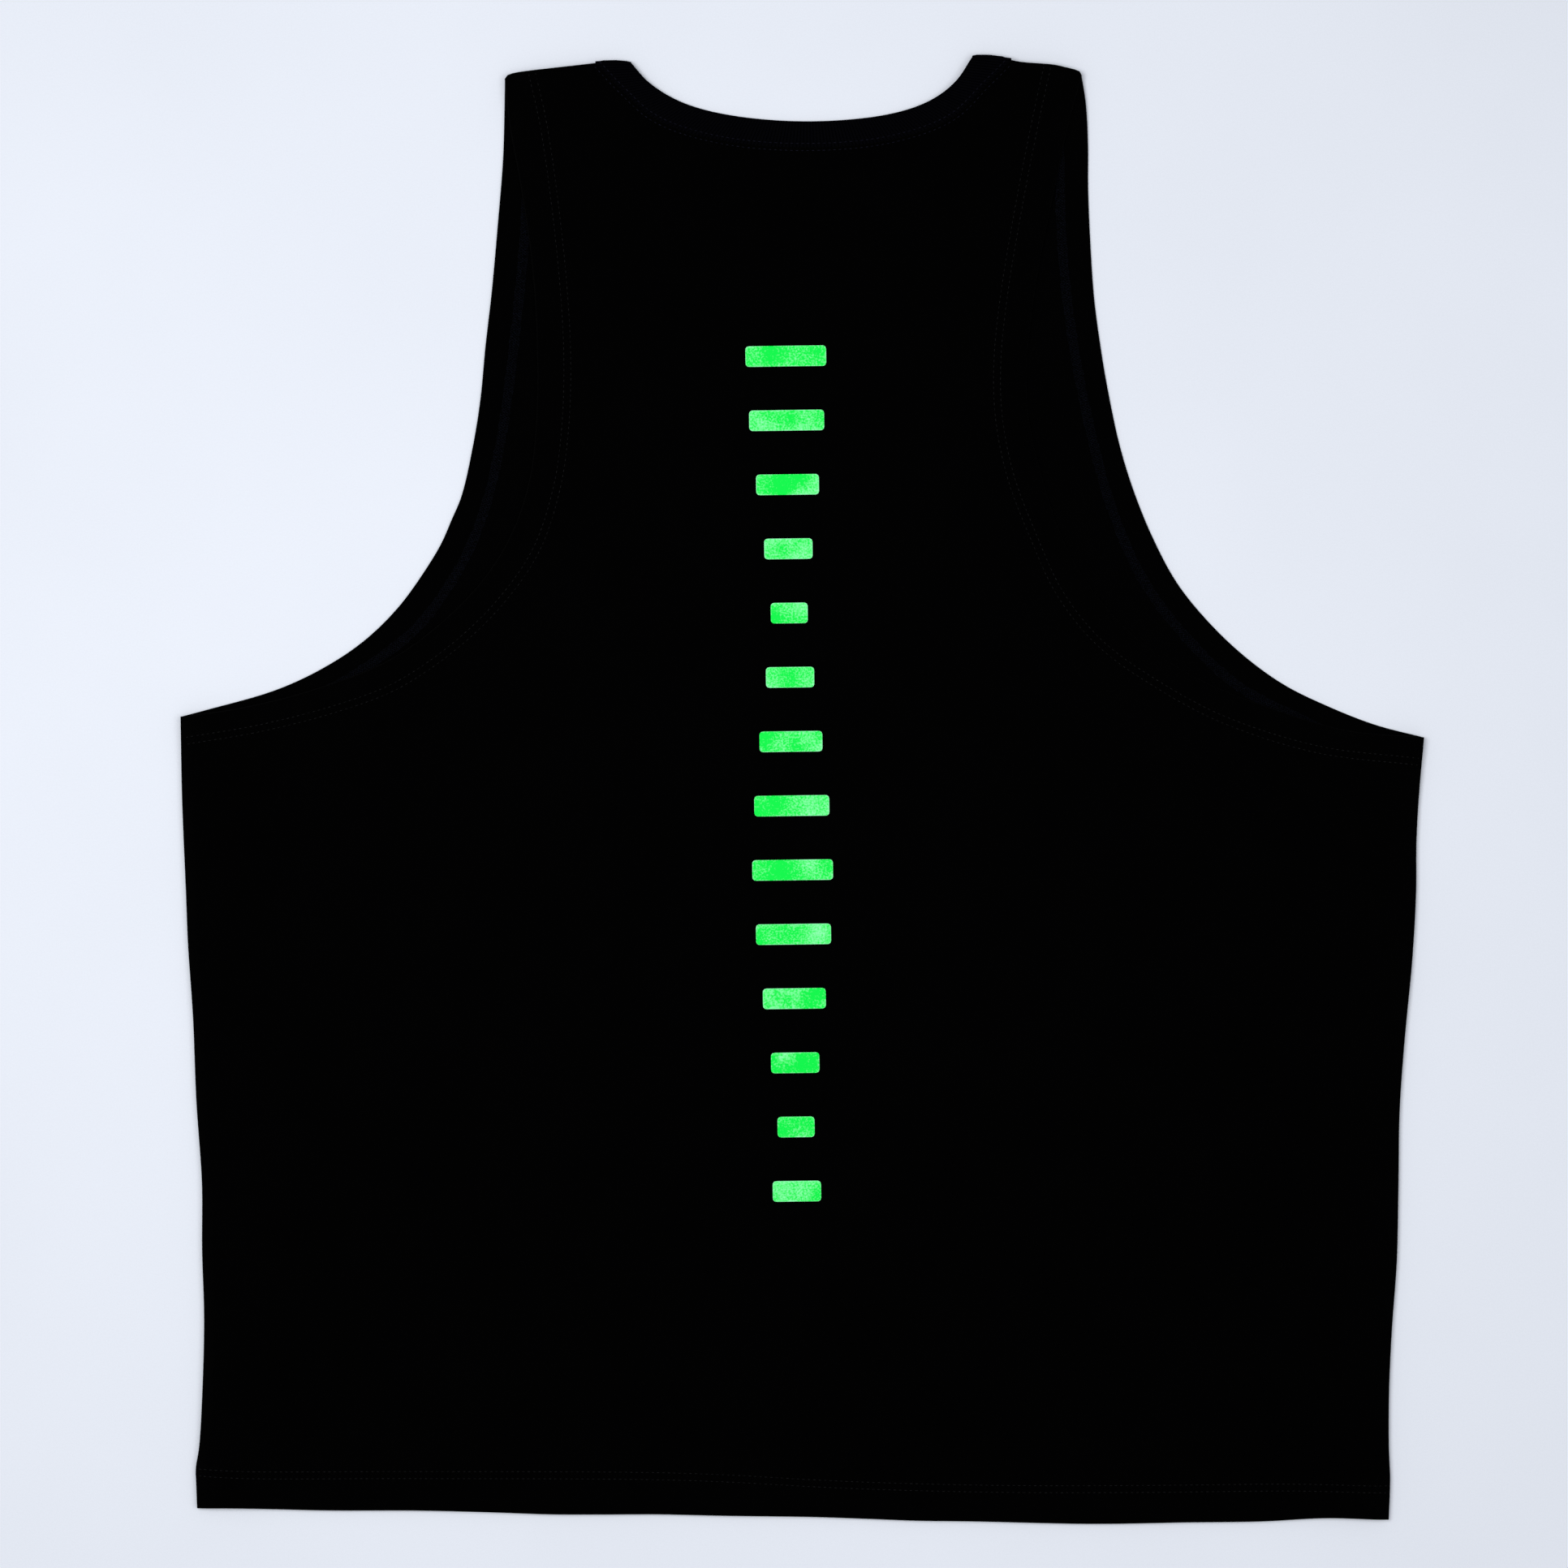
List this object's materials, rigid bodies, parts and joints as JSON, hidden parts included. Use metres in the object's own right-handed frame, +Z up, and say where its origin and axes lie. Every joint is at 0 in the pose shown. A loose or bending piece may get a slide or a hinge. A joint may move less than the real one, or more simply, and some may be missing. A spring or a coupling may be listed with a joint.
{
  "type": "tank top",
  "caption": "Sleeveless jersey tank top laid flat with its back side up: cut-in armholes, turned hems and a folded rib neckband.",
  "frame": {"origin": "on the table, under the centre of the garment's bounding box", "axes": "+Z up from the table, +Y from the bottom hem to the shoulders, +X to the right with the back side up"},
  "size_m": [0.6001, 0.7089, 0.0068],
  "materials": {
    "jersey": "matte black single jersey",
    "rib": "matte black fine rib"
  },
  "bodies": {
    "root": {"back_panel": "jersey", "front_panel": "jersey", "neckband": "rib"}
  },
  "joints": []
}
